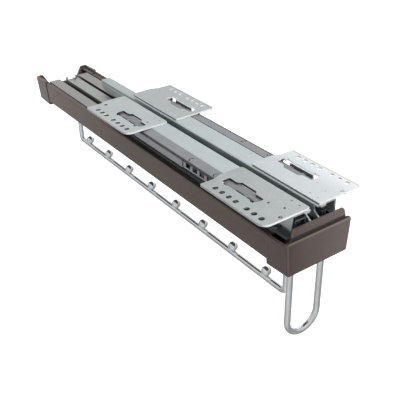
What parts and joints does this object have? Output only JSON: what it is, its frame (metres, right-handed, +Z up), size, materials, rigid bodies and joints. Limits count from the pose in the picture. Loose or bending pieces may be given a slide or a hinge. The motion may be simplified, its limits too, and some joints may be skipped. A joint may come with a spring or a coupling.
{
  "type": "pull-out clothes rail",
  "caption": "Pull-out clothes rail with a brown frame, a chrome ball rail and a pull handle, on soft-closing ball runners.",
  "frame": {"origin": "centre of the rectangle of the outermost fixing holes, on the top face of the fixing plates", "axes": "+Z up, square to the plates, towards the panel they are fixed to; +Y along the rail, towards its back; the carriage pulls out along -Y"},
  "size_m": [0.106, 0.48, 0.1367],
  "materials": {
    "galvanised": "galvanised sheet, satin",
    "channel_zinc": "galvanised sheet, satin",
    "brown_profile": "brown powder coat, satin",
    "brown_cap": "moulded, fine grain",
    "chrome": "bright chrome plating",
    "bearing_steel": "polished balls",
    "grey_plastic": "moulded, satin",
    "dark_plastic": "moulded, satin",
    "screw_zinc": "zinc plated"
  },
  "bodies": {
    "root": {"plate_front_left": "galvanised", "plate_front_right": "galvanised", "plate_rear_left": "galvanised", "plate_rear_right": "galvanised", "channel_left": "channel_zinc", "channel_right": "channel_zinc", "damper_housing_left": "grey_plastic", "damper_housing_right": "grey_plastic", "damper_cylinder_left": "screw_zinc", "damper_cylinder_right": "screw_zinc"},
    "carriage": {"moving_rail_left": "galvanised", "moving_rail_right": "galvanised", "rail_rivets": "screw_zinc", "carriage_tray": "galvanised", "tray_screws": "screw_zinc", "frame_profile": "brown_profile", "front_cap": "brown_cap", "rear_cap": "brown_cap", "cap_screws": "screw_zinc", "hanger_rail": "chrome", "stop_balls": "chrome", "hanger_screws": "screw_zinc", "handle": "chrome", "handle_screws": "screw_zinc", "striker_left": "dark_plastic", "striker_right": "dark_plastic"},
    "middle_left": {"middle_runner_left": "galvanised"},
    "middle_right": {"middle_runner_right": "galvanised"},
    "outer_cage_left_body": {"outer_cage_left": "dark_plastic", "outer_balls_left": "bearing_steel"},
    "outer_cage_right_body": {"outer_cage_right": "dark_plastic", "outer_balls_right": "bearing_steel"},
    "inner_cage_left_body": {"inner_cage_left": "dark_plastic", "inner_balls_left": "bearing_steel"},
    "inner_cage_right_body": {"inner_cage_right": "dark_plastic", "inner_balls_right": "bearing_steel"},
    "catch_left_body": {"catch_left": "dark_plastic", "damper_rod_left": "bearing_steel"},
    "catch_right_body": {"catch_right": "dark_plastic", "damper_rod_right": "bearing_steel"}
  },
  "joints": [
    {"name": "carriage_slide", "type": "slide", "parent": "root", "child": "carriage", "axis": [0, -1, 0], "range_m": [0, 0.29]},
    {"name": "middle_slide_left", "type": "slide", "parent": "root", "child": "middle_left", "axis": [0, -1, 0], "range_m": [0, 0.145]},
    {"name": "middle_slide_right", "type": "slide", "parent": "root", "child": "middle_right", "axis": [0, -1, 0], "range_m": [0, 0.145]},
    {"name": "outer_cage_slide_left", "type": "slide", "parent": "root", "child": "outer_cage_left_body", "axis": [0, -1, 0], "range_m": [0, 0.0725]},
    {"name": "outer_cage_slide_right", "type": "slide", "parent": "root", "child": "outer_cage_right_body", "axis": [0, -1, 0], "range_m": [0, 0.0725]},
    {"name": "inner_cage_slide_left", "type": "slide", "parent": "root", "child": "inner_cage_left_body", "axis": [0, -1, 0], "range_m": [0, 0.2175]},
    {"name": "inner_cage_slide_right", "type": "slide", "parent": "root", "child": "inner_cage_right_body", "axis": [0, -1, 0], "range_m": [0, 0.2175]},
    {"name": "catch_slide_left", "type": "slide", "parent": "root", "child": "catch_left_body", "axis": [0, -1, 0], "range_m": [0, 0.04]},
    {"name": "catch_slide_right", "type": "slide", "parent": "root", "child": "catch_right_body", "axis": [0, -1, 0], "range_m": [0, 0.04]}
  ],
  "couplings": [
    {"joint": "middle_slide_left", "follows": "carriage_slide", "ratio": 0.5},
    {"joint": "middle_slide_right", "follows": "carriage_slide", "ratio": 0.5},
    {"joint": "outer_cage_slide_left", "follows": "carriage_slide", "ratio": 0.25},
    {"joint": "outer_cage_slide_right", "follows": "carriage_slide", "ratio": 0.25},
    {"joint": "inner_cage_slide_left", "follows": "carriage_slide", "ratio": 0.75},
    {"joint": "inner_cage_slide_right", "follows": "carriage_slide", "ratio": 0.75},
    {"joint": "catch_slide_left", "follows": "carriage_slide", "ratio": 0.1379},
    {"joint": "catch_slide_right", "follows": "carriage_slide", "ratio": 0.1379}
  ]
}
